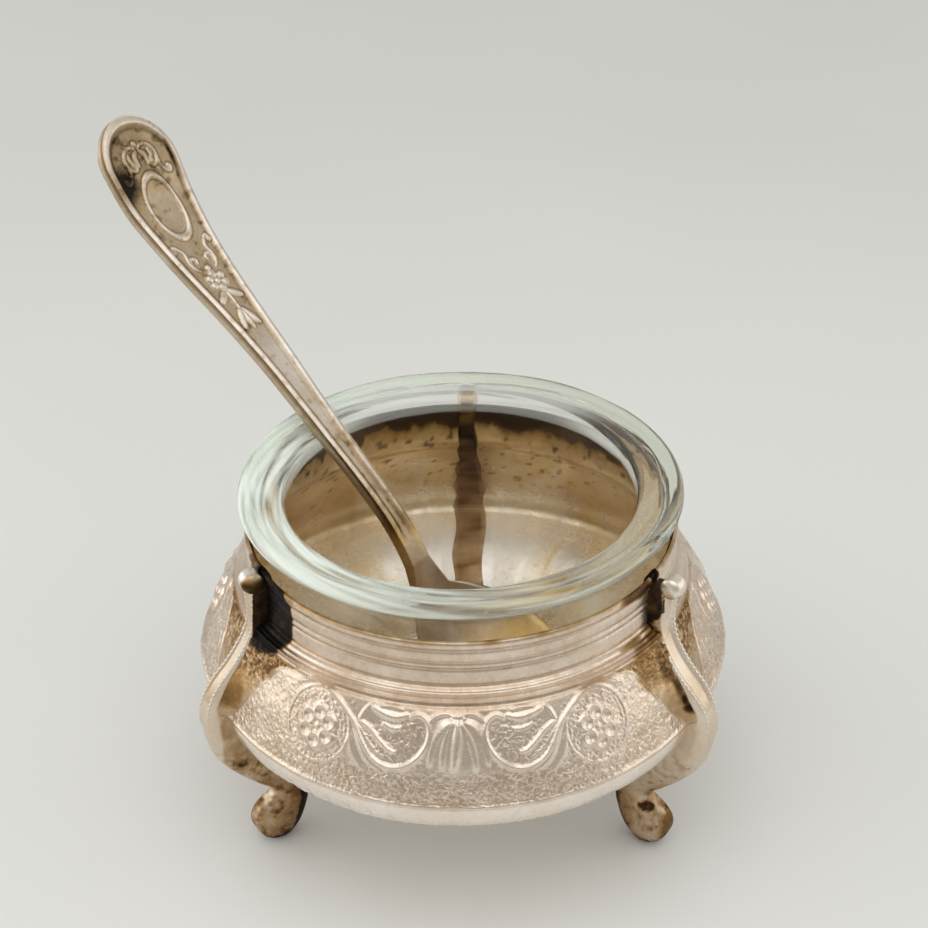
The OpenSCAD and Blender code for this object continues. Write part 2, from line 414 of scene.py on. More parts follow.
# Colours from clean to tarnished: of the three silvers, and where they are gilt or stained golden.
PANEL_STOPS = [(0.0, (0.90, 0.85, 0.79)), (0.2, (0.80, 0.695, 0.59)), (0.36, (0.63, 0.505, 0.39)),
               (0.52, (0.45, 0.31, 0.17)), (0.7, (0.28, 0.155, 0.055)), (0.86, (0.09, 0.05, 0.024)),
               (1.0, (0.014, 0.011, 0.011))]
LEG_STOPS = [(0.0, (0.86, 0.80, 0.73)), (0.25, (0.70, 0.59, 0.46)), (0.5, (0.45, 0.305, 0.17)),
             (0.75, (0.22, 0.115, 0.042)), (1.0, (0.022, 0.014, 0.01))]
SPOON_STOPS = [(0.0, (0.90, 0.85, 0.79)), (0.3, (0.66, 0.58, 0.49)), (0.55, (0.42, 0.31, 0.185)),
               (0.8, (0.15, 0.1, 0.05)), (1.0, (0.02, 0.015, 0.012))]
INSIDE_GOLD = [(0.0, (0.90, 0.80, 0.62)), (0.4, (0.74, 0.55, 0.27)), (0.62, (0.46, 0.29, 0.10)),
               (0.9, (0.06, 0.035, 0.02))]
SPOON_GOLD = [(0.0, (0.80, 0.60, 0.25)), (0.45, (0.56, 0.36, 0.10)), (0.8, (0.2, 0.11, 0.03))]


def clear_glass():
    """Pale green pressed glass: milky and streaked in its thick rim, nearly unseen in the wall below; the rim
    is painted milkier and paler towards one side, as painted light.
    """
    mat, nt, out = node_tree("clear_glass")
    lip, frost_and_painted_light = mark_of(nt, "lip"), mark_of(nt, "frost_and_painted_light")
    stream = add(nt, "ShaderNodeCombineXYZ", X=mark_of(nt, "stream_x"), Y=mark_of(nt, "stream_y"),
                 Z=mark_of(nt, "stream_z")).outputs["Vector"]
    flow = noise_of(nt, stream, 0.26, 1.0, 0.4)
    ripple = noise_of(nt, stream, 0.5, 1.6, 0.4)
    stirred = times(nt, lip, mathn(nt, "MULTIPLY_ADD", frost_and_painted_light, 0.8, 0.35))
    height = times(nt, mathn(nt, "MULTIPLY_ADD", ripple, 0.3, flow), stirred)
    relief = add(nt, "ShaderNodeBump", Height=height, Strength=0.6, Distance=0.0012).outputs["Normal"]
    # Painted light: where the rim is painted lit, its colour is paler and less of it is clear glass.
    hue = ramp_of(nt, frost_and_painted_light, [(0.0, (0.75, 0.785, 0.68)), (0.5, (0.83, 0.90, 0.815))])
    colour = mixed(nt, lip, (0.97, 0.985, 0.97, 1), hue)
    milk_and_painted_light = times(nt, times(nt, between(nt, ripple, 0.26, 0.64), frost_and_painted_light), lip)
    clear = mathn(nt, "SUBTRACT", 1.0, milk_and_painted_light, clamped=True)
    glass = add(nt, "ShaderNodeBsdfPrincipled", Base_Color=colour, Normal=relief, Alpha=mark_of(nt, "solid"))
    nt.links.new(clear, glass.inputs["Transmission Weight"])
    glass.inputs["Roughness"].default_value = 0.04
    glass.inputs["IOR"].default_value = 1.47
    through = add(nt, "ShaderNodeBsdfTransparent", Color=(0.97, 0.99, 0.98, 1))
    shadow = add(nt, "ShaderNodeLightPath").outputs["Is Shadow Ray"]
    both = add(nt, "ShaderNodeMixShader", _0=shadow, _1=glass.outputs[0], _2=through.outputs[0])
    nt.links.new(both.outputs[0], out.inputs["Surface"])
    return mat


# ---- panels ----

# Outer face of a panel half way between two legs, as radius and height.
PANEL_LINE = spline([
    (NECK_R - 0.45, NECK_TOP), (NECK_R - 0.08, NECK_TOP - 0.15), (NECK_R, NECK_TOP - 0.6),
    (NECK_R, 53.5), (NECK_R, 50.5), (NECK_R + 0.5, 48.6), (NECK_R + 1.3, 47.4),
    (NECK_R + 3.1, 45.4), (EDGE_R - 3.3, EDGE_Z + 8), (EDGE_R - 1.5, EDGE_Z + 4),
    (EDGE_R - 0.35, EDGE_Z + 1), (EDGE_R - 0.03, EDGE_Z - 0.9), (EDGE_R - 0.6, EDGE_Z - 3.3),
    (EDGE_R - 2.3, EDGE_Z - 5.0), (SEAT_HOLE_R + 18, SEAT_Z + 4.4), (SEAT_HOLE_R + 11, SEAT_Z + 0.8),
    (SEAT_HOLE_R + 7.5, SEAT_Z + 0.02), (SEAT_HOLE_R, SEAT_Z)], 10)
PANEL_ALONG = lengths(PANEL_LINE) - 0.55     # measured from the neck's top edge

DEGREE = 0.78                # millimetres to a degree on the shoulder
STRIDE = 4                   # steps of the outer grid to a step of the inner one
COLS = 480

# The swag's strokes, for one side: degrees from the panel's middle, distance down from the
# neck's top edge; then the ridge's half width and height, and how wide its two ends are.
SWAG = [
    ([(39, 12.6), (35, 11.3), (30.5, 11.6), (26.5, 13.2), (23, 15.3), (20.6, 17.8), (18.2, 20.0),
      (14.8, 21.2), (11.3, 20.9), (8.4, 19.4), (6.5, 17.2), (5.9, 15.0), (6.6, 13.3), (8.4, 12.5),
      (10.2, 13.0)], 0.42, 0.62, (0.5, 0.7)),
    ([(0.6, 12.5), (2.6, 12.1), (4.6, 12.5), (6.3, 13.6)], 0.33, 0.4, (0.6, 0.7)),
    ([(21.3, 15.0), (18.9, 15.9), (16.5, 17.4), (14.4, 18.5), (12.8, 18.7)], 0.42, 0.46, (0.7, 0.25)),
    ([(22.3, 16.2), (20.8, 18.4), (18.6, 20.7), (15.7, 22.0)], 0.44, 0.44, (0.7, 0.25)),
    ([(23.4, 17.6), (22.0, 20.3), (19.4, 22.6)], 0.6, 0.24, (0.8, 0.3)),
    ([(21.6, 15.8), (19.7, 17.4), (17.3, 19.1), (14.8, 20.0)], 0.3, 0.26, (0.7, 0.3)),
    ([(21.6, 14.6), (20.9, 13.3), (19.8, 12.1)], 0.35, 0.34, (0.8, 0.4)),
    ([(19.3, 12.4), (16.5, 13.0), (13.6, 13.3), (10.9, 12.7)], 0.62, 0.5, (0.3, 0.3)),
    ([(17.6, 12.1), (14.6, 11.8), (12.0, 12.1)], 0.3, 0.3, (0.4, 0.4)),
    ([(16.4, 14.5), (14.2, 15.1), (12.0, 14.9)], 0.42, 0.3, (0.3, 0.3)),
]
MEDALLION = (31.4, 17.6)
MEDALLION_R = 6.1
FLOWER_SIZE = 1 / 0.84
PETALS = 6
PETAL_TURN = [math.radians(360 / PETALS * k + 30) for k in range(PETALS)]

# Lobes of the palmette in the panel's middle: sideways and down, in millimetres.
LOBES = [
    ([(-0.8, 13.2), (-2.5, 14.6), (-3.9, 17.0), (-4.4, 20.2)], 0.75, 0.55),
    ([(-0.5, 13.3), (-1.6, 15.0), (-2.2, 18.0), (-2.4, 20.6)], 0.62, 0.55),
    ([(0.0, 13.3), (0.1, 15.2), (-0.2, 18.0), (-0.6, 20.8)], 0.85, 0.85),
    ([(0.6, 13.4), (1.8, 15.4), (2.6, 18.0), (3.0, 20.8)], 0.62, 0.5),
    ([(0.9, 13.2), (3.0, 14.5), (4.4, 17.0), (5.0, 20.0)], 0.8, 0.42),
    ([(-0.5, 19.5), (-0.7, 22.0), (-0.8, 24.4)], 0.22, 0.22),
]


def neck_mouldings(s):
    """The soft rings pressed round the neck, s down from its top edge."""
    h = 0.2 * bump(s, 0.6, 0.55) - 0.2 * bump(s, 1.5, 0.32) + 0.05 * bump(s, 2.6, 0.7)
    h += -0.14 * bump(s, 3.7, 0.22) + 0.12 * bump(s, 4.35, 0.4) - 0.2 * bump(s, 5.05, 0.25)
    h += 0.06 * bump(s, 6.2, 0.9) - 0.26 * bump(s, 7.9, 0.42) + 0.18 * bump(s, 8.65, 0.3)
    return h + 0.5 * bump(s, 9.45, 0.3) + 0.62 * bump(s, 10.25, 0.36) - 0.32 * bump(s, 11.0, 0.35)


def flower(x, y):
    """A six-petalled flower with cupped petals and a bead in its middle, at the origin."""
    h = 0.5 * bead(x, y, 0, 0, 0.6)
    for a in PETAL_TURN:
        r = np.hypot(x - 1.95 * math.cos(a), y - 1.95 * math.sin(a))
        h = np.maximum(h, 0.5 * bump(r, 0.95, 0.36) + 0.06 * ramp(1.4, 0.9, r))
    return h


def ornament(x, y):
    """Height of the pressed pattern, how granular the ground is and where it is raised, at x
    across and y down in millimetres."""
    side = np.abs(x)
    h = np.zeros_like(x)
    for path, width, height, taper in SWAG:
        h = np.maximum(h, height * stroke(side, y, [(a * DEGREE, b) for a, b in path], width, taper))
    for path, width, height in LOBES:
        h = np.maximum(h, height * stroke(x, y, path, width, (0.45, 0.25)))
    for cx, cy, r in ((0.1, 12.5, 0.55), (-1.0, 12.9, 0.35), (1.2, 12.8, 0.35)):
        h = np.maximum(h, 0.5 * bead(x, y, cx, cy, r))
    mx, my = MEDALLION[0] * DEGREE, MEDALLION[1]
    r = np.hypot(side - mx, y - my)
    h = np.maximum(h, 0.2 * bump(r, MEDALLION_R, 0.26))
    h = np.maximum(h, 0.08 * bump(r, MEDALLION_R - 0.75, 0.2))
    h = np.maximum(h, flower((side - mx + 0.1) / FLOWER_SIZE, (y - my - 0.5) / FLOWER_SIZE))
    raised = ramp(0.03, 0.2, h)
    bell = np.exp(-(x / 4.6) ** 2) * ramp(12, 14, y) * ramp(23.5, 20, y)
    low = ramp(20.6, 22.2, y) * ramp(27.2, 26.4, y)
    loop = ramp(6.2, 5.0, np.hypot((side - 9.9) * 0.9, (y - 17.4) * 1.35))
    outer = ramp(17.0, 19.5, side) * ramp(11.8, 13.2, y)
    ground = clamp(np.maximum(np.maximum(low, 0.85 * loop), 0.75 * outer) * (1 - raised) * (1 - 0.8 * bell))
    ground = ground * ramp(27.0, 26.5, y)
    return h + 0.28 * bell, ground, raised


# The line that bounds the pressed ground near a leg: degrees from the panel's middle, down.
BORDER = [(40.5, 11.4), (44.5, 12.4), (47.3, 15.0), (49.6, 18.5), (52.2, 22.5), (55.5, 26.6)]


def beyond_border(x, y):
    """How far a point lies past the border line, towards the leg, in millimetres."""
    line = spline([(b, a * DEGREE) for a, b in BORDER], 6)
    return np.abs(x) - np.interp(y, line[:, 0], line[:, 1])


def crest_rise(z):
    """How far a leg's crest stands out from the panels at height z."""
    return np.interp(z, [26, 29, 31, 34.4, 37.7, 41, 45, 48], [2.2, 3.3, 3.6, 3.3, 2.6, 1.7, 1.1, 0.6])


def web_width(y, radius):
    """How wide the plain slope up to a leg is, from the leg's middle to the border line."""
    line = spline([(b, a) for a, b in BORDER], 6)
    return np.minimum((THIRD - np.interp(y, line[:, 0], line[:, 1])) * math.pi / 180 * radius, 9.0)


def panel_radius(radius, z, q):
    """Radius of a panel's face at q degrees from its middle: each shoulder bulges a little."""
    out = LOBE_OUT * ramp(46.5, 41.0, z)
    a = np.radians(q)
    arm = radius - out
    return out * np.cos(a) + np.sqrt(arm ** 2 - (out * np.sin(a)) ** 2)


def panel_rows():
    """Distances down the profile for the fine grid, close together where there is relief."""
    end = PANEL_ALONG[-1]
    rows = np.concatenate([np.arange(PANEL_ALONG[0], 11, 0.2), np.arange(11, 28, 0.21),
                           np.arange(28, 33, 0.3), np.linspace(33, end, 29)])
    spare = (len(rows) - 1) % STRIDE
    return rows[:-1 - spare].tolist() + [end] if spare else rows.tolist()


# Stains: direction, height, half sizes in degrees and mm, depth and softness of the edge.
SPOTS = [
    (214.5, 51.5, 10.5, 7.4, 1.0, 0.07), (219, 56.9, 13, 1.3, 0.62, 0.6), (322, 56.0, 7, 1.5, 0.85, 0.4),
    (318, 47.9, 4.5, 0.45, 0.75, 0.5), (283, 51.2, 1.6, 0.3, 0.5, 0.6), (205, 55.5, 5, 3, 0.8, 0.4),
    (320.5, 43.5, 4.4, 4.2, 0.66, 0.5), (325.2, 43.8, 2.6, 4.6, 0.86, 0.9),
    (326.4, 39.4, 1.9, 3.4, 0.94, 0.9), (326.9, 35.4, 1.2, 1.3, 1.0, 0.9),
    (326.6, 37.0, 0.8, 1.6, 1.0, 0.9), (220.5, 44.0, 4.5, 2.6, 0.62, 0.5),
    (216.5, 42.5, 5.5, 4.0, 0.56, 0.7), (213.6, 37.6, 4.0, 4.6, 0.72, 0.7),
    (330, 52, 5, 6, 0.42, 0.8), (90, 50, 8, 6, 0.6, 0.6), (98, 43, 6, 5, 0.5, 0.6), (81, 41, 5, 6, 0.5, 0.6),
    (338, 42, 5, 5, 0.35, 0.6), (202, 42, 5, 6, 0.3, 0.6),
]


def tarnish_spots(az, z, wander):
    total = np.zeros_like(az * z)
    for spot_az, spot_z, half_az, half_z, depth, edge in SPOTS:
        r = np.hypot((az - spot_az) / half_az, (z - spot_z) / half_z) + (1.4 * edge + 0.1) * wander
        total = np.maximum(total, depth * ramp(1 + edge, 1 - edge, r))
    return total


def panel_profile():
    """Columns down a panel's profile: distance, radius, height, and the outward direction."""
    rows = np.array(panel_rows())
    base = at(PANEL_LINE, PANEL_ALONG, rows)
    slope = heading(base, rows)
    return rows[:, None], base[:, :1], base[:, 1:], -slope[:, 1:], slope[:, :1]


def panel_outside(name, profile, q):
    """A panel's outer face: its points, its tarnish and its grain."""
    s, radius, z, out_r, out_z = profile
    middle = PANEL_AZ[name]
    seed = int(middle)
    shift = 0.6 if name == "front_panel" else 0.0
    face_r = panel_radius(radius, z, q)
    x, y = q * DEGREE - shift, s + 0 * q
    height, ground, raised = ornament(x, y)
    on_shoulder = ramp(10.9, 11.6, y) * ramp(27.6, 26.9, y)
    past = beyond_border(x + shift, y)
    inside = ramp(0.25, -0.25, past)
    spot = polar(face_r, middle + q, z)
    grains = worms(spot, 0.5, seed + 3)
    coarse = worms(spot, 0.8, seed + 31)
    dark_ground = ramp(0.0, 0.8, past) * ramp(10.9, 12, y) * ramp(21, 15, y)
    h = neck_mouldings(s) + 0 * q
    h += on_shoulder * inside * (0.64 * height + 0.13 * ground * (grains - 0.45))
    h += on_shoulder * 0.14 * bump(past, 0.0, 0.3) * ramp(28, 24, y)
    h += on_shoulder * dark_ground * 0.2 * (coarse - 0.5)
    h += 0.26 * bump(y, 27.0, 0.34) - 0.12 * bump(y, 27.75, 0.22)
    if name == "front_panel":
        dents = np.sin(np.radians(q * 78)) * ramp(-6, -14, q) * ramp(-42, -34, q)
        h -= 0.26 * clamp(dents) * bump(y, 30.6, 1.2)
    from_leg = (THIRD - np.abs(q)) * math.pi / 180 * face_r
    web = web_width(s, face_r)
    flare = clamp((web - from_leg) / (web - 1.7)) ** 1.8
    flare = flare * (crest_rise(z) - 0.5) * ramp(48.5, 45.0, z) * ramp(27.6, 26.2, s)
    lump = (cloud(spot, 5.0, seed + 50, 2) - 0.5) * 0.28 * ramp(11, 13, y)
    points = polar(face_r + (h + flare + lump) * out_r, middle + q, z + (h + lump) * out_z)

    tarnish = 0.235 + 0.14 * (cloud(spot, 9.0, seed + 40) - 0.5) + 0.05 * ramp(11, 9, s)
    tarnish += on_shoulder * inside * (1 - raised) * (0.03 + 0.13 * ground * (1 - grains))
    tarnish += 0.03 * raised * on_shoulder
    tarnish += 0.14 * bump(y, 11.4, 0.7) + 0.1 * bump(s, 7.9, 0.5) + 0.07 * bump(s, 5.05, 0.3)
    tarnish += 0.1 * bump(s, 1.5, 0.35) + 0.08 * bump(s, 3.7, 0.3)
    tarnish += 0.5 * ramp(0.5, -0.2, s) * cloud(spot, 3.0, seed + 4)
    tarnish += on_shoulder * ramp(-0.3, 0.8, past) * (0.1 + 0.24 * cloud(spot, 6.0, seed + 8))
    tarnish += on_shoulder * dark_ground * 0.3 * (1 - coarse)
    tarnish = np.where(s > 27.4, 0.12 + 0.08 * ramp(34, 44, s), tarnish)
    wander = cloud(spot, 3.0, seed + 60) - 0.5
    tarnish = np.maximum(tarnish, tarnish_spots((middle + q) % 360, z, wander))
    return points, tarnish, clamp(on_shoulder * (inside * (0.3 + 0.7 * ground) + dark_ground))


def panel_inside(name, profile, q):
    """A panel's inner face, on a coarser grid: its points, its tarnish with painted light and shade laid in,
    its gilding and its film.
    """
    radius, z, out_r, out_z = [column[::STRIDE] for column in profile[1:]]
    q = q[::STRIDE, ::STRIDE]
    middle = PANEL_AZ[name]
    seed = int(middle)
    face_r = panel_radius(np.minimum(radius - SHEET * out_r, radius - 0.1), z, q)
    face_r[0] += SHEET - 0.4
    face_z = z - SHEET * out_z
    dent = (cloud(polar(face_r, middle + q, face_z), 4.0, seed + 70, 2) - 0.5) * 0.35
    points = polar(face_r + dent, middle + q, face_z)

    z = points[..., 2]
    az = np.degrees(np.arctan2(points[..., 1], points[..., 0])) % 360
    patches = cloud(points, 6.0, seed + 12)
    # Upright streaks: they thin the sugar film and are painted into the tarnish as streaks of painted sheen
    # low down.
    runs_and_sheen = cloud(np.stack([az * 0.55, 0.12 * z, 0 * z], -1), 2.2, seed + 16)
    bloom = np.hypot((az - 58) / 5.5, (z - 24.3) / 1.9) + 0.6 * (runs_and_sheen - 0.5)
    plain = ramp(0.6, 1.0, bloom)
    aside = ramp(14, 34, np.abs((az - 92 + 180) % 360 - 180)) * ramp(37, 30, z)
    # The tarnish here also holds painted light: the inside is painted lighter towards the bottom, standing in
    # for reflections there, and a band near z 29.2 is painted darker, as painted shade over a bright
    # reflection.
    tarnish = 0.4 + 0.1 * ramp(40, 48, z) - 0.24 * ramp(36, 30, z) - 0.1 * ramp(27, 23, z)
    tarnish += (0.3 + 0.3 * ramp(30, 25, z)) * (patches - 0.5) + 0.3 * (runs_and_sheen - 0.5) * ramp(34, 28, z)
    tarnish += 0.16 * aside - 0.08 * ramp(33, 27, z) + 0.24 * bump(z, 29.2 + (patches - 0.5), 1.2)
    tarnish = tarnish * ramp(0.7, 0.95, bloom) + 0.2 * bump(bloom, 1.05, 0.12)
    tarnish += 0.7 * ramp(51.0, 54.2, z + 5.0 * (cloud(points, 2.5, seed + 14) - 0.5))
    tarnish += 0.4 * ramp(0.78, 0.84, noise(points, 1.1, seed + 21)) * ramp(31, 38, z)
    gilt = np.maximum(ramp(23, 31, z), 0.9 * aside) * (0.95 + 0.4 * (patches - 0.5)) * plain
    film = clamp((0.6 + 1.1 * (runs_and_sheen - 0.5)) * ramp(35, 30, z)) * plain
    return points, tarnish, gilt, film


def make_panel(name, material):
    profile = panel_profile()
    radius = profile[1]
    gap = np.where(radius > 29.5, np.degrees(np.arcsin(SLOT_HALF / np.maximum(radius, 29.5))), 0.12)
    q = np.linspace(-1, 1, COLS + 1)[None, :] * (THIRD - gap)
    outside, tarnish, grain = panel_outside(name, profile, q)
    inside, tarnish_and_painted_light_in, gilt, film = panel_inside(name, profile, q)
    points, faces = closed_shell(outside, inside, STRIDE)
    marks = {}
    for mark, out_mark, in_mark in (("tarnish", tarnish, tarnish_and_painted_light_in), ("grain", grain, 0 * film),
                                    ("gilt", 0 * grain, gilt), ("film", 0 * grain, film)):
        marks[mark] = np.concatenate([out_mark.ravel(), in_mark.ravel()])
    return make(name + "_pressing", points, faces, material, "frame", name, marks)


# ---- legs ----

def sheet_at_leg(z):
    """Radius inside the sheet metal of the panels' edges beside a leg, at height z."""
    neck_first = PANEL_LINE[3:PANEL_LINE[:, 0].argmax() + 1]
    middle = np.interp(-z, -neck_first[:, 1], neck_first[:, 0])
    return float(panel_radius(middle, z, THIRD)) - 0.5


# Stations down a leg: how far its outer line is inside the knee's radius, and that line's height;
# its inner line's radius, 0 where it lies against the panels, and height; half its width; and how
# round its section is, from a flat beaded crest at 0 to an oval at 1.
LEG_STATIONS = [
    (9.9, 54.6, 0, 54.6, 1.8, 0.0), (10.0, 51.6, 0, 51.8, 1.8, 0.0), (10.0, 48.3, 0, 48.2, 1.75, 0.0),
    (8.8, 45.0, 0, 43.9, 1.7, 0.0), (6.0, 41.0, 0, 39.6, 1.75, 0.0), (3.0, 37.7, 0, 35.6, 1.85, 0.0),
    (1.0, 34.4, 0, 32.6, 2.05, 0.0), (0.1, 30.5, sheet_at_leg(30.2), 30.0, 2.35, 0.2),
    (0.3, 26.4, 43.6, 27.4, 2.6, 0.6), (1.9, 21.8, 41.4, 24.6, 2.6, 0.95), (5.1, 17.2, 38.4, 21.4, 2.5, 1.0),
    (8.5, 13.6, 34.8, 17.0, 2.2, 1.0), (11.0, 11.2, 32.2, 12.8, 2.05, 1.0), (10.7, 9.9, 31.6, 9.2, 2.15, 1.0),
    (9.6, 9.2, 32.3, 5.8, 2.4, 1.0), (8.5, 8.4, 33.7, 2.4, 2.55, 1.0), (7.6, 7.3, 36.0, 0.15, 2.6, 1.0),
    (7.1, 5.8, 38.2, 0.05, 2.5, 1.0), (7.1, 4.4, 39.8, 0.7, 2.1, 1.0), (7.4, 3.4, 40.8, 1.7, 1.4, 1.0),
    (7.7, 3.0, 41.3, 2.2, 0.6, 1.0)]
LEG_LINE = spline([(KNEE_R - inset, zo, ri or sheet_at_leg(zi), zi, half, roundness)
                   for inset, zo, ri, zi, half, roundness in LEG_STATIONS], 14)
# How each leg differs: scroll moved out by, crest twisted by (mm out per mm across), crest width.
LEG_TEMPER = {"back_leg": (0.0, 0.0, 1.0), "left_leg": (-0.9, 0.05, 1.0), "right_leg": (0.5, 0.34, 1.22)}
RIM_POINTS = 72
SCROLL_C = (39.6, 55.5)
SCROLL_R = 1.8


# Half of a leg's section on the panels, as share of half width and depth below the crest.
CREST_SECTION = np.array([
    (0.0, 0.5), (0.22, 0.5), (0.42, 0.48), (0.54, 0.36), (0.63, 0.08), (0.73, 0.0), (0.84, 0.05),
    (0.92, 0.32), (0.97, 0.7), (1.02, 1.2)])


def leg_section(u, half, depth, roundness):
    """A point of the section at u round the loop from 0 to 1: across, and depth inwards."""
    shape = CREST_SECTION
    v = np.abs(((u + 0.5) % 1.0) * 2 - 1)     # 1 at the crest's middle, 0 at the inner face's middle
    sign = np.where(u < 0.5, 1.0, -1.0)
    top = clamp((1 - v) / 0.62)
    run = np.concatenate([[0], np.cumsum(np.linalg.norm(np.diff(shape * [1.8, 1.0], axis=0), axis=1))])
    run /= run[-1]
    flat_w = np.interp(top, run, shape[:, 0])
    flat_d = np.interp(top, run, shape[:, 1])
    low = clamp((0.38 - v) / 0.38)
    flat_d = np.where(v < 0.38, 1.1 + (depth - 1.1) * clamp(low * 1.6), flat_d)
    flat_w = np.where(v < 0.38, 1.02 * np.sqrt(1 - clamp((low - 0.5) * 2) ** 3 * 0.9999), flat_w)
    a = math.pi * (1 - v)
    round_w = np.sin(a) ** 0.82
    round_d = depth / 2 * (1 - np.sign(np.cos(a)) * np.abs(np.cos(a)) ** 0.9)
    w = (1 - roundness) * flat_w + roundness * round_w
    d = (1 - roundness) * flat_d + roundness * round_d
    return sign * half * w, d


def leg_body(twist, wide):
    """The cast leg from its neck scroll to its toe, at direction 0: rings of (out, across, up)."""
    run = lengths(LEG_LINE)
    line = at(LEG_LINE, run, np.concatenate([np.arange(0, 28, 0.16), np.arange(28, run[-1], 0.32)]))
    u = (np.arange(RIM_POINTS) + 0.5) / RIM_POINTS
    run = lengths(line)
    rings = []
    for k, (ro, zo, ri, zi, half, roundness) in enumerate(line):
        depth = math.hypot(ro - ri, zo - zi)
        w, d = leg_section(u, half, depth, clamp(roundness))
        bead = 0.07 * math.sin(2 * math.pi * run[k] / 0.9) * (1 - clamp(roundness))
        d = d - bead * ((np.abs(w) > 0.6 * half) & (d < 0.3))
        flat = ramp(33, 40, zo)
        w = w * (1 + (wide - 1) * flat)
        share = d / depth
        lean = twist * w * flat * (1 - share)
        rings.append(np.stack([ro + (ri - ro) * share + lean, w, zo + (zi - zo) * share], -1))
    return np.array(rings)


def scroll(out):
    """The rolled top of a leg: a barrel lying across it, with a spiral raised on each end."""
    across = np.linspace(-1, 1, 41)
    turn = np.linspace(0, 2 * math.pi, 56, endpoint=False)
    rings = []
    for t in across:
        swell = (1 - abs(t) ** 5) ** 0.5 if abs(t) < 1 else 0.0
        r = 0.06 + (SCROLL_R - 0.06) * swell
        coil = 1 + 0.12 * np.cos(turn - 2.4 - 6.0 * (1 - swell)) * min(1.0, abs(t) * 1.6)
        rings.append(np.stack([SCROLL_C[0] + out + r * coil * np.cos(turn), 0 * turn + 1.95 * t,
                               SCROLL_C[1] + r * coil * np.sin(turn)], -1))
    return np.array(rings)


def inner_strip():
    """The flat inner side of a leg, seen between the panels from inside the bowl."""
    end = np.argmin(np.abs(PANEL_LINE[:, 0] - 28) + 100 * (PANEL_LINE[:, 1] > 25))
    line = PANEL_LINE[3:end]
    slope = heading(line)
    rings = []
    for (radius, z), (tr, tz) in zip(line, slope):
        half = np.interp(z, [18, 30, 38, 42, 46, 52, 57], [2.9, 3.0, 2.7, 1.9, 1.9, 1.5, 1.8])
        left, right = -half * (1 + 0.12 * math.sin(0.8 * z)), half * (1 + 0.12 * math.sin(1.1 * z + 2))
        edge_radius = float(panel_radius(radius, z, THIRD))
        loop = [(left, -SHEET - 0.12), (left * 0.6, -SHEET - 0.28), (right * 0.6, -SHEET - 0.28),
                (right, -SHEET - 0.12), (right, -0.45), (left, -0.45)]
        rings.append([(edge_radius - tz * d, w, z + tr * d) for w, d in loop])
    return np.array(rings, float)


def weathered(points, skin, seed):
    """A leg's points pushed in and out a little, as in an uneven casting, and how pitted it is."""
    z = points[:, 2]
    low = ramp(28, 20, z)
    lump = cloud(points + seed, 3.2, seed + 5, 3) - 0.5
    pitted = ramp(0.66, 0.8, noise(points + seed, 0.9, seed + 9)) * low
    centre = np.stack([np.interp(z, [0, 12, 22, 30, 45, 57], [37.5, 35, 43, 46.5, 39.5, 38.5]), 0 * z, z], -1)
    away = points - centre
    away /= np.linalg.norm(away, axis=1)[:, None] + 1e-9
    push = skin * (0.22 * lump * (0.3 + 0.7 * low) - 0.06 * pitted)
    points = points + away * push[:, None]
    points[:, 0] = np.minimum(points[:, 0], KNEE_R - 0.02)
    points[:, 2] = np.clip(points[:, 2], 0.0, NECK_TOP + 0.75)
    return points, pitted


def foot_margins(z, r, skin):
    """1 along the toe and heel edges of a foot, found level by level."""
    level = np.clip(np.round(z).astype(int), 0, 18)
    toe, heel = np.zeros(19), np.full(19, 99.0)
    np.maximum.at(toe, level[skin], r[skin])
    np.minimum.at(heel, level[skin], r[skin])
    over = (r - heel[level]) / (toe[level] - heel[level])
    return (ramp(0.8, 0.97, over) + ramp(0.2, 0.03, over)) * ramp(14, 8, z)


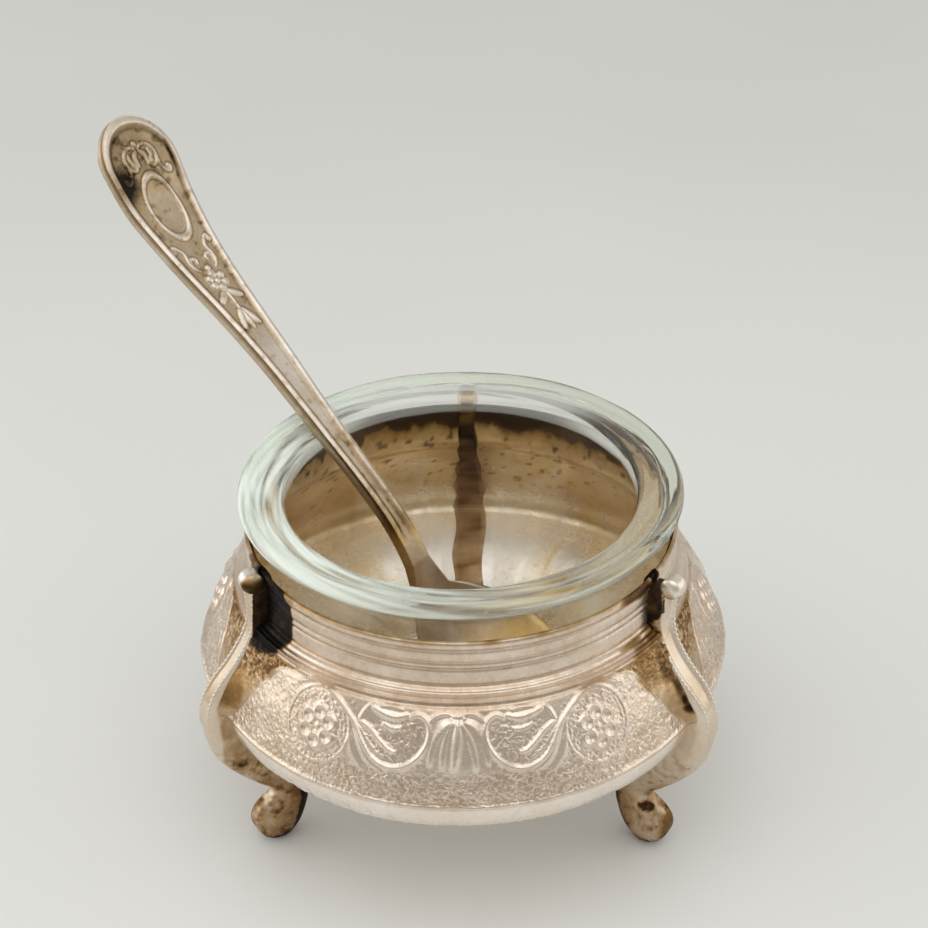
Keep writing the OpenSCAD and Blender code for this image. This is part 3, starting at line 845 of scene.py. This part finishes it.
def leg_tarnish(name, points, smooth, skin, curled, pitted):
    """How tarnished a leg is. smooth is its points before they were weathered."""
    r, z, across = smooth[:, 0], smooth[:, 2], points[:, 1]
    seed = int(LEG_AZ[name])
    rough = cloud(points + seed, 2.4, seed + 2)
    stains = ramp(0.56, 0.7, cloud(points + seed, 1.5, seed + 19))
    crest = skin & (r > np.interp(z, [20, 30, 45, 57], [45.5, 47.2, 39.6, 38.6]))
    tarnish = 0.26 + 0.3 * (cloud(points + seed, 7.0, seed + 3) - 0.5) + 0.12 * pitted
    tarnish += 0.15 * ramp(24, 11, z) - 0.05 * crest + 0.12 * (crest & (np.abs(across) < 1.045) & (z > 34))
    tarnish += 0.3 * ramp(37.5, 34.0, r) * ramp(15, 9, z) + 0.3 * ramp(2.8, 0.4, z)
    tarnish += 0.4 * foot_margins(z, r, skin) * ramp(0.25, 0.6, rough) + 0.24 * stains * ramp(27, 19, z)
    front = {"back_leg": 0, "left_leg": 1, "right_leg": -1}[name]
    side = ramp(0.9, 1.7, across * front) * ramp(0.2, 0.9, np.interp(z, [34, 45, 57], [47.6, 40.2, 39.2]) - r)
    knob = curled & (z > 52)
    knob_tarnish = tarnish
    if name == "left_leg":
        tarnish = np.where((side > 0.3) & (z > 45.2 + 1.5 * (rough - 0.5)), 0.97, tarnish)
        tarnish += 0.48 * side * ramp(46, 44, z) * rough
        heel = np.interp(z, [0, 4, 8, 12, 16], [36.4, 35.0, 33.6, 33.4, 34.4]) + 1.2 * (rough - 0.5)
        tarnish += 0.7 * ramp(heel + 0.3, heel - 0.5, r) * ramp(17, 14, z) - 0.14 * ramp(22, 13, z)
        tarnish += 0.4 * ramp(2.4, 0.8, z + 1.5 * (rough - 0.5))
        knob_tarnish = 0.12 + 0.3 * (rough - 0.5) + 0.8 * ramp(-0.2, 1.2, across) - 0.5 * ramp(55.8, 57.0, z)
    elif name == "right_leg":
        tarnish = tarnish + side * ramp(30, 36, z) * (0.28 + 0.6 * ramp(0.45, 0.62, rough))
        pit = np.hypot(np.hypot((r - 38.0) / 1.3, (across + 1.9) / 1.4), (z - 9.0) / 0.9)
        tarnish = np.maximum(tarnish, 0.95 * ramp(1.2, 0.9, pit + 1.6 * (rough - 0.5)))
        tarnish += 0.3 * ramp(2.2, 0.8, z + 1.5 * (rough - 0.5)) - 0.04 * ramp(24, 30, z) * (1 - side)
        knob_tarnish = 0.1 + 0.3 * (rough - 0.5)
    strip = 0.52 + 0.34 * ramp(38, 47, z) + 0.6 * (cloud(points + seed, 2.0, seed) - 0.5)
    strip += 0.16 * bump(np.abs(across), 1.9, 0.7) + 0.2 * bump(z, 40, 4)
    tarnish = np.where(skin, tarnish, strip)
    top_end = skin & ~curled & (z > 50) & ((r < 38.8) | (name == "back_leg"))
    tarnish = np.where(top_end, 0.75 + 0.4 * rough, tarnish)
    return np.where(knob, knob_tarnish, tarnish)


def make_leg(name, material):
    out, twist, wide = LEG_TEMPER[name]
    body, curl = leg_body(twist, wide), scroll(out)
    smooth, faces = joined([closed_sweep(part) for part in (body, curl, inner_strip())])
    number = np.arange(len(smooth))
    body_end = body.size // 3
    skin = number < body_end + curl.size // 3
    curled = skin & (number >= body_end)
    points, pitted = weathered(smooth, skin, int(LEG_AZ[name]))
    tarnish = leg_tarnish(name, points, smooth, skin, curled, pitted)
    marks = {"tarnish": tarnish, "grain": 0.5 * ramp(28, 20, smooth[:, 2]) * skin}
    placed = spun(points, np.radians(uneven(LEG_AZ[name], points[:, 2])))
    return make(name + "_casting", placed, faces, material, "frame", name, marks)


# ---- liner ----

def arc(cx, cz, r, a0, a1, steps=10):
    a = np.radians(np.linspace(a0, a1, steps + 1))
    return [(cx + r * math.cos(t), cz + r * math.sin(t)) for t in a]


MOUTH_R = 29.8
WALL_R = 34.4
RIM_T = 2.5
LINER_COLS = 256
STREAM_R = 7                 # radius of the ring on which the glass's streaks are laid out
PAINTED_LIGHT_AZ = 202               # the direction towards which the rim is painted milkiest and palest, as painted light


def liner_profile():
    """Radius and height from the middle of the base, over the rim, to the middle of the floor."""
    outside = [(21, BASE_Z + 0.6), (21.8, BASE_Z), (25.5, BASE_Z)]
    outside += spline([
        (27, BASE_Z + 0.4), (30, BASE_Z + 2), (32.2, BASE_Z + 5.4), (33.3, BASE_Z + 11),
        (34, BASE_Z + 21), (WALL_R, RIM_TOP - 8), (WALL_R + 0.1, RIM_TOP - 4),
        (WALL_R + 0.9, RIM_TOP - RIM_T - 0.15)], 8).tolist()
    outside += arc(RIM_R - RIM_T / 2, RIM_TOP - RIM_T / 2, RIM_T / 2, -80, 90, 16)
    inside = spline([
        (RIM_R - 1.8, RIM_TOP - 0.02), (RIM_R - 3.0, RIM_TOP - 0.55), (RIM_R - 4.4, RIM_TOP - 1.0),
        (MOUTH_R + 1.8, RIM_TOP - 1.12)], 5).tolist()
    inside += arc(MOUTH_R + 1.5, RIM_TOP - 2.6, 1.5, 85, 180, 14)
    inside += spline([
        (MOUTH_R, RIM_TOP - 6), (MOUTH_R, BASE_Z + 24), (MOUTH_R - 0.3, BASE_Z + 16),
        (MOUTH_R - 1, BASE_Z + 9), (MOUTH_R - 2.9, BASE_Z + 5), (MOUTH_R - 6.2, FLOOR_Z + 0.3),
        (MOUTH_R - 8, FLOOR_Z)], 8).tolist()
    return np.array(outside + inside)


def make_liner(material):
    """Pressed glass: a rolled rim with faint turning lines, a thick wall and a rounded floor."""
    line = liner_profile()
    count = len(line)
    az = np.linspace(0, 360, LINER_COLS, endpoint=False)[None, :]
    a = np.radians(az)
    radius, z = line[:, :1], line[:, 1:]
    top_face = ramp(RIM_TOP - 4, RIM_TOP - 1, z)
    sway = 0.05 * np.sin(np.radians(az * 3 + 40)) + 0.035 * np.sin(np.radians(az * 7))
    sway = top_face * (sway - 0.05 * (1 + np.sin(np.radians(az * 2 + 10))))
    radius = radius - 0.03 * (1 + np.sin(np.radians(az * 5))) * top_face
    ring_x, ring_y = STREAM_R * np.cos(a) + 0 * z, STREAM_R * np.sin(a) + 0 * z
    flow = np.stack([ring_x, ring_y, 1.1 * (radius + z)], -1)
    streak = 0.16 * (cloud(flow, 1.6, 90) - 1.0) * ramp(RIM_TOP - 6, RIM_TOP - 3, z)
    height = np.maximum(z + sway + streak - 0.015, BASE_Z)
    grid = np.stack([(radius + streak) * np.cos(a), (radius + streak) * np.sin(a), height], -1)
    points = np.concatenate([grid.reshape(-1, 3), [(0, 0, BASE_Z + 0.6), (0, 0, FLOOR_Z)]])
    faces = quads(count, LINER_COLS, wrap=True)
    under, floor = count * LINER_COLS, count * LINER_COLS + 1
    for k in range(LINER_COLS):
        nxt = (k + 1) % LINER_COLS
        last = (count - 1) * LINER_COLS
        faces.append([under, nxt, k])
        faces.append([floor, last + k, last + nxt])

    x, y, z_all = points.T
    lip = ramp(RIM_TOP - 6.0, RIM_TOP - 2.8, z_all)
    inward = ramp(RIM_R - 1.2, RIM_R - 3.2, np.hypot(x, y))
    clearing = 0.68 * ramp(58, 30, np.abs(np.degrees(np.arctan2(x, y)))) * inward
    solid = 0.03 + 0.1 * ramp(BASE_Z + 12, BASE_Z + 24, z_all) + 0.87 * lip * (1 - clearing)
    # Painted light: a faint milkiness all round the rim, and much more towards one side, where it stands in
    # for the light falling there.
    frost_and_painted_light = 0.02 + (0.5 + 0.5 * np.cos(a - math.radians(PAINTED_LIGHT_AZ))) ** 1.5 + 0 * z
    turn = a + 0.05 * np.arange(count)[:, None]
    stream = (STREAM_R * np.cos(turn), STREAM_R * np.sin(turn), 1.3 * (radius + z))
    marks = {"lip": lip, "solid": solid, "frost_and_painted_light": np.append(frost_and_painted_light.ravel(), [0, 0])}
    for axis, values in zip("xyz", stream):
        marks["stream_" + axis] = np.append(values.ravel(), [0, 0])
    return make("pressed_liner", points, faces, material, "liner", "glass_liner", marks, 80)


# ---- spoon ----

LEAN_AZ = 142.0
LEAN_SIDE = 2.15
HANDLE_HALF = 7.85
END_LENGTH = 9.0
BOWL_HALF = 12.75
BOWL_DEEP = 6.8

# The upper face's middle line from the handle's end to the bowl: how far out from the bowl's
# axis, height, and half width as a share of the widest.
HANDLE = spline([
    (75.8, SPOON_TOP + 0.05, 1), (70.8, 103, 1), (66.7, 96.6, 0.92), (61.1, 90.9, 0.77), (55.5, 86.2, 0.65),
    (49.9, 82, 0.55), (44.6, 78, 0.475), (38.8, 73.5, 0.41), (32.3, 68, 0.35), (25.7, 62.4, 0.305),
    (19.2, 57.1, 0.28), (13.4, 52, 0.275), (9.7, 47.6, 0.28), (7.2, 43.6, 0.29)], 8)
BOWL_START = np.array([5.4, 39.6])
BOWL_TIP = np.array([-27.5, FLOOR_Z + 4.3])
BOWL_SAG = 1.5
TOP_POINTS, SIDE_POINTS, BACK_POINTS = 72, 8, 24

# Strokes of the handle's ornament, for one side: across, and down from the handle's end.
SPRAY = [
    ([(0.3, 6.3), (1.2, 5.7), (2.6, 6.1), (3.4, 7.6), (3.1, 9.3), (2.0, 10.0), (1.5, 9.2), (1.9, 8.6)],
     0.36, 0.42),
    ([(0.4, 6.8), (1.1, 7.6), (1.0, 9.4)], 0.5, 0.34),
    ([(2.2, 6.8), (2.4, 7.9), (1.9, 8.6)], 0.42, 0.3),
    ([(3.5, 8.4), (3.4, 10.2), (4.0, 11.6), (4.9, 11.9), (5.2, 11.1), (4.7, 10.7)], 0.34, 0.4),
    ([(4.3, 25.7), (3.9, 24.9), (3.2, 25.6), (2.5, 27.0), (2.8, 28.8), (2.6, 30.2), (1.7, 31.2)], 0.34, 0.42),
    ([(2.2, 30.6), (2.5, 29.2), (1.9, 28.2), (1.1, 28.7), (1.3, 29.6)], 0.34, 0.38),
    ([(0.6, 36.4), (1.3, 37.2), (2.3, 38.1)], 0.62, 0.46),
    ([(0.2, 40.5), (0.9, 42.2), (1.6, 44.2)], 0.62, 0.48),
]
OVAL = (0.0, 17.7, 3.2, 6.3)
SPRAY_BEADS = [(0.0, 5.3, 0.5), (4.2, 25.9, 0.55), (2.0, 8.9, 0.5), (4.8, 11.0, 0.5), (0.0, 30.9, 0.55)]


def spoon_relief(w, s):
    """Height of the ornament on the handle's sunk face."""
    side = np.abs(w - 0.05)
    h = np.zeros_like(w)
    for path, width, height in SPRAY:
        h = np.maximum(h, height * stroke(side, s, path, width, (0.6, 0.6), 5))
    cx, cs, rx, rs = OVAL
    ring = (np.hypot((w - cx) / rx, (s - cs) / rs) - 1) * rx
    h = np.maximum(h, 0.4 * bump(ring, 0.0, 0.34))
    h = h - 0.06 * ramp(-0.4, -0.9, ring)
    for cx, cs, r in SPRAY_BEADS:
        h = np.maximum(h, 0.44 * bead(side, s, cx, cs, r))
    h = np.maximum(h, 0.4 * bead(w, s, 0, 33.8, 0.6))
    for a in PETAL_TURN:
        r = np.hypot(w - 1.5 * math.cos(a), s - 33.8 - 1.55 * math.sin(a))
        h = np.maximum(h, 0.52 * np.sqrt(clamp(1 - (r / 0.86) ** 2)))
    h = np.maximum(h, 0.34 * stroke(w, s, [(0.1, 36), (0.0, 38.5), (0.1, 41)], 0.3, (1, 1)))
    return np.maximum(h, 0.5 * stroke(w, s, [(0.1, 40.8), (0.0, 43), (0.1, 45)], 0.5, (0.6, 0.3)))


def spoon_stations():
    """Rows along the spoon: middle line, half width, thickness, dip, distance from the handle's end
    and, within its round end, how far round it is."""
    run = lengths(HANDLE)
    s = np.concatenate([END_LENGTH * (1 - np.cos(np.radians(np.linspace(1.5, 90, 44)))),
                        np.arange(END_LENGTH + 0.2, 48, 0.2), np.arange(48, run[-1], 0.5)])
    line = at(HANDLE, run, s)
    half = line[:, 2] * HANDLE_HALF
    end = clamp(1 - s / END_LENGTH)
    half = half * np.sqrt(1 - end ** 2)
    thick = np.interp(line[:, 1], [70, 105], [2.55, 2.1]) * (0.72 + 0.28 * ramp(0, 6, s))
    u = np.linspace(0.03, 0.985, 90)
    bowl = BOWL_START + (BOWL_TIP - BOWL_START) * u[:, None]
    bowl[:, 1] -= BOWL_SAG * np.sin(math.pi * u)
    bowl_half = np.maximum(BOWL_HALF * np.sin(math.pi * u ** 0.86) ** 0.62, 2.4 * ramp(1, 0.3, u))
    dip = BOWL_DEEP * np.sin(math.pi * u ** 0.94) ** 0.75
    bowl_thick = 1.25 + 1.2 * ramp(0.25, 0.0, u)
    columns = [(half, bowl_half), (thick, bowl_thick), (0 * s, dip), (s, run[-1] + 3 + u * 35), (end, 0 * u)]
    return [np.concatenate([line[:, :2], bowl])] + [np.concatenate(pair)[:, None] for pair in columns]


def spoon_top(rows, q):
    """The upper face: distances across, height, distance in from the rim, rim width and ornament."""
    _, half, _, dip, s, end = rows
    on_handle = ramp(92, 86, s)
    w = q * (half - 0.12)
    rounded = (1 - np.hypot(end, w / np.maximum(HANDLE_HALF, half))) * HANDLE_HALF
    edge = half - np.abs(w)
    edge = np.where(end > 0, np.minimum(rounded, edge + 2.2 * end), edge)
    wide = 1 + 0.5 * end
    border = 0.42 * bump(edge, 0.75 * wide, 0.58 * wide) - 0.1 * bump(edge, 1.5 * wide, 0.35) - 0.16
    border = (border - 0.12 * ramp(1.2, 1.8, edge)) * on_handle * ramp(0.0, 0.3, edge)
    relief = spoon_relief(w, s + 0 * w) * ramp(0.9, 1.7, edge) * ramp(47, 45, s)
    top = border + relief - (dip + 0.12) * (1 - q ** 2)
    top -= 0.25 * ramp(0.2, 2.5, dip) * ramp(0.92, 1.0, np.abs(q))
    return w, top, edge, wide, relief


def spoon_tarnish_and_shadow(placed, across, rows, edge, wide, relief, groove):
    s = rows[4]
    along = s + 0 * across
    is_top = np.arange(across.shape[1])[None, :] < TOP_POINTS
    on_handle = ramp(92, 86, s)
    sunk = ramp(1.1, 1.7, edge) * on_handle * (1 - ramp(0.03, 0.16, relief))
    outline = ramp(0.01, 0.06, relief) * ramp(0.2, 0.1, relief)
    scuffs = ramp(0.6, 0.72, cloud(placed[:, :TOP_POINTS], 1.3, 78))
    patch = np.hypot((across - 5.1) / 2.3, (along - 11.8) / 3.8) + 0.5 * (cloud(placed, 1.6, 79) - 0.5)
    stain_and_shadow = 0.46 * ramp(1.5, 0.1, patch) + 0.4 * bump(across, -6.4, 0.32) * bump(along, 9.0, 3.4)
    # A broad painted shadow darkens the handle near its end.
    stain_and_shadow += 0.16 * bump(across, 0.2, 5.4) * bump(along, 8.0, 7.0)
    tarnish = 0.31 + 0.16 * ramp(55, 80, along) + 0.2 * (cloud(placed, 6.0, 77) - 0.5) + stain_and_shadow * is_top
    tarnish += 0.2 * ramp(78, 92, along) * on_handle
    tarnish[:, :TOP_POINTS] += 0.2 * sunk * ramp(52, 40, s) - 0.06 * bump(edge, 0.6 * wide, 0.5)
    worn = 0.16 * scuffs + 0.2 * bump(edge, 1.55 * wide, 0.3)
    tarnish[:, :TOP_POINTS] += 0.22 * outline + on_handle * worn
    tarnish[:, TOP_POINTS:TOP_POINTS + SIDE_POINTS] += 0.3 * groove + 0.12
    tarnish[:, -SIDE_POINTS:] += 0.3 * groove[:, ::-1]
    return tarnish


def make_spoon(material):
    rows = spoon_stations()
    middle, half, thick, dip, s, _ = rows
    slope = heading(middle)
    on_handle = ramp(92, 86, s)
    on_bowl = ramp(0.2, 2.5, dip)
    w, top, edge, wide, relief = spoon_top(rows, np.linspace(-1, 1, TOP_POINTS)[None, :])
    t = np.linspace(0, 1, SIDE_POINTS + 2)[None, 1:-1]
    groove = bump(t, 0.24, 0.13) * on_handle
    belly = 0.1 * np.sin(math.pi * clamp((t - 0.3) / 0.7)) * on_handle
    side_w = half - 0.05 + (belly - 0.32 * groove) * ramp(0.6, 3, half)
    side_h = -thick * t * (1 - 0.35 * on_bowl) - 0.05
    back = np.linspace(1, -1, BACK_POINTS)[None, :]
    back_w = back * (half - 0.15 - 0.3 * on_bowl)
    back_h = -thick * (0.86 + 0.14 * np.sqrt(clamp(1 - back ** 2))) - (dip + 0.12) * (1 - back ** 2)
    back_h = back_h + 0.3 * thick * on_bowl * np.abs(back) ** 3
    across = np.concatenate([w, side_w, back_w, -side_w[:, ::-1]], 1)
    height = np.concatenate([top, side_h, back_h, side_h[:, ::-1]], 1)
    reach = middle[:, :1] + slope[:, 1:] * height
    z = np.minimum(middle[:, 1:] - slope[:, :1] * height, SPOON_TOP)
    placed = spun(np.stack([reach, across + LEAN_SIDE, z], -1), math.radians(LEAN_AZ))
    points, faces = closed_sweep(placed)
    tarnish = spoon_tarnish_and_shadow(placed, across, rows, edge, wide, relief, groove)
    gilt = 0.85 * ramp(105, 116, s) + 0.6 * bump(s, 90.5, 4.5) * ramp(0.1, 0.9, np.abs(across) / half)
    marks = {"tarnish": tarnish, "grain": 0 * tarnish, "gilt": gilt}
    return make("teaspoon_body", points, faces, material, "spoon", "spoon", marks, 60)


# ---- stage, light and camera ----

FLOOR_HALF = 3.0             # metres


def make_floor():
    mat, nt, out = node_tree("pale_floor")
    place = add(nt, "ShaderNodeTexCoord").outputs["Object"]
    cloudy = noise_of(nt, place, 6.0, 2.0)
    colour = ramp_of(nt, cloudy, [(0.3, (0.76, 0.76, 0.735)), (0.7, (0.79, 0.79, 0.765))])
    # Painted shade: the floor's colour darkens towards the back, standing in for the light falling off there.
    depth = add(nt, "ShaderNodeSeparateXYZ", Vector=place).outputs["Y"]
    far = between(nt, depth, -0.12, 0.32)
    shade = ramp_of(nt, far, [(0.0, (1.0, 1.0, 1.0)), (1.0, (0.855, 0.855, 0.84))])
    shader = add(nt, "ShaderNodeBsdfPrincipled", Base_Color=mixed(nt, 1.0, colour, shade, "MULTIPLY"))
    shader.inputs["Roughness"].default_value = 0.6
    shader.inputs["Specular IOR Level"].default_value = 0.25
    nt.links.new(shader.outputs[0], out.inputs["Surface"])
    mesh = bpy.data.meshes.new("floor")
    corners = [(-1, -1, 0), (1, -1, 0), (1, 1, 0), (-1, 1, 0)]
    mesh.from_pydata([[FLOOR_HALF * c for c in corner] for corner in corners], [], [(0, 1, 2, 3)])
    mesh.materials.append(mat)
    new_object("floor", mesh)


def soft_box(name, place, target, size, glow, colour=(1, 1, 1)):
    """A big soft light, given by how bright its face looks."""
    data = bpy.data.lights.new(name, "AREA")
    data.shape = "RECTANGLE"
    data.size, data.size_y = size
    data.energy = glow * math.pi * size[0] * size[1]
    data.color = colour
    lamp = new_object(name, data)
    lamp.location = place
    lamp.rotation_euler = (Vector(target) - Vector(place)).to_track_quat("-Z", "Y").to_euler()


def make_lights():
    world = bpy.data.worlds.new("studio")
    world.use_nodes = True
    nt = world.node_tree
    back = nt.nodes["Background"]
    way = add(nt, "ShaderNodeSeparateXYZ", _0=add(nt, "ShaderNodeTexCoord").outputs["Generated"]).outputs["Y"]
    room = ramp_of(nt, mathn(nt, "MULTIPLY_ADD", way, 0.5, 0.5),
                   [(0.10, (0.41, 0.39, 0.365)), (0.30, (0.60, 0.60, 0.59)), (1.0, (0.64, 0.645, 0.645))])
    nt.links.new(room, back.inputs["Color"])
    back.inputs["Strength"].default_value = 1.0
    bpy.context.scene.world = world
    soft_box("ceiling", (0.0, -0.45, 1.15), (0, 0, 0.03), (1.7, 1.4), 0.95)
    soft_box("left_window", (-1.1, 0.0, 0.45), (0, 0, 0.04), (1.3, 0.9), 1.14)
    soft_box("right_window", (1.1, 0.0, 0.4), (0, 0, 0.04), (1.1, 0.8), 0.85, (1, 0.985, 0.96))
    light = bpy.context.scene.cycles
    light.max_bounces = 32
    light.glossy_bounces = 16
    light.transmission_bounces = 32
    light.transparent_max_bounces = 16


def make_camera():
    """The view of the bowl: a little above it and in front, with a long lens."""
    eye = Vector((9.88, -241.02, 216.02)) * MM
    target = Vector((0.66, 0.03, 65.93)) * MM
    roll = math.radians(-0.9)
    aim = (target - eye).to_track_quat("-Z", "Y").to_matrix().to_4x4() @ Matrix.Rotation(roll, 4, "Z")
    data = bpy.data.cameras.new("camera")
    data.sensor_width = 36.0
    data.lens = 65.95
    data.clip_start = 0.01
    camera = new_object("camera", data)
    camera.matrix_world = Matrix.Translation(eye) @ aim
    bpy.context.scene.camera = camera


# ---- the scene ----

make_camera()
make_lights()
make_floor()

panel_metal = silver("pressed_silver", PANEL_STOPS, rough=(0.22, 0.48), gold=INSIDE_GOLD, filmed=True)
leg_metal = silver("cast_silver", LEG_STOPS, rough=(0.3, 0.6), blotch=0.16, pits=0.6)
spoon_metal = silver("spoon_silver", SPOON_STOPS, rough=(0.34, 0.52), blotch=0.26, pits=0.3, gold=SPOON_GOLD)
for panel_name in PANEL_AZ:
    make_panel(panel_name, panel_metal)
for leg_name in LEG_AZ:
    make_leg(leg_name, leg_metal)
make_liner(clear_glass())
make_spoon(spoon_metal)

bpy.context.scene.view_settings.view_transform = "Standard"
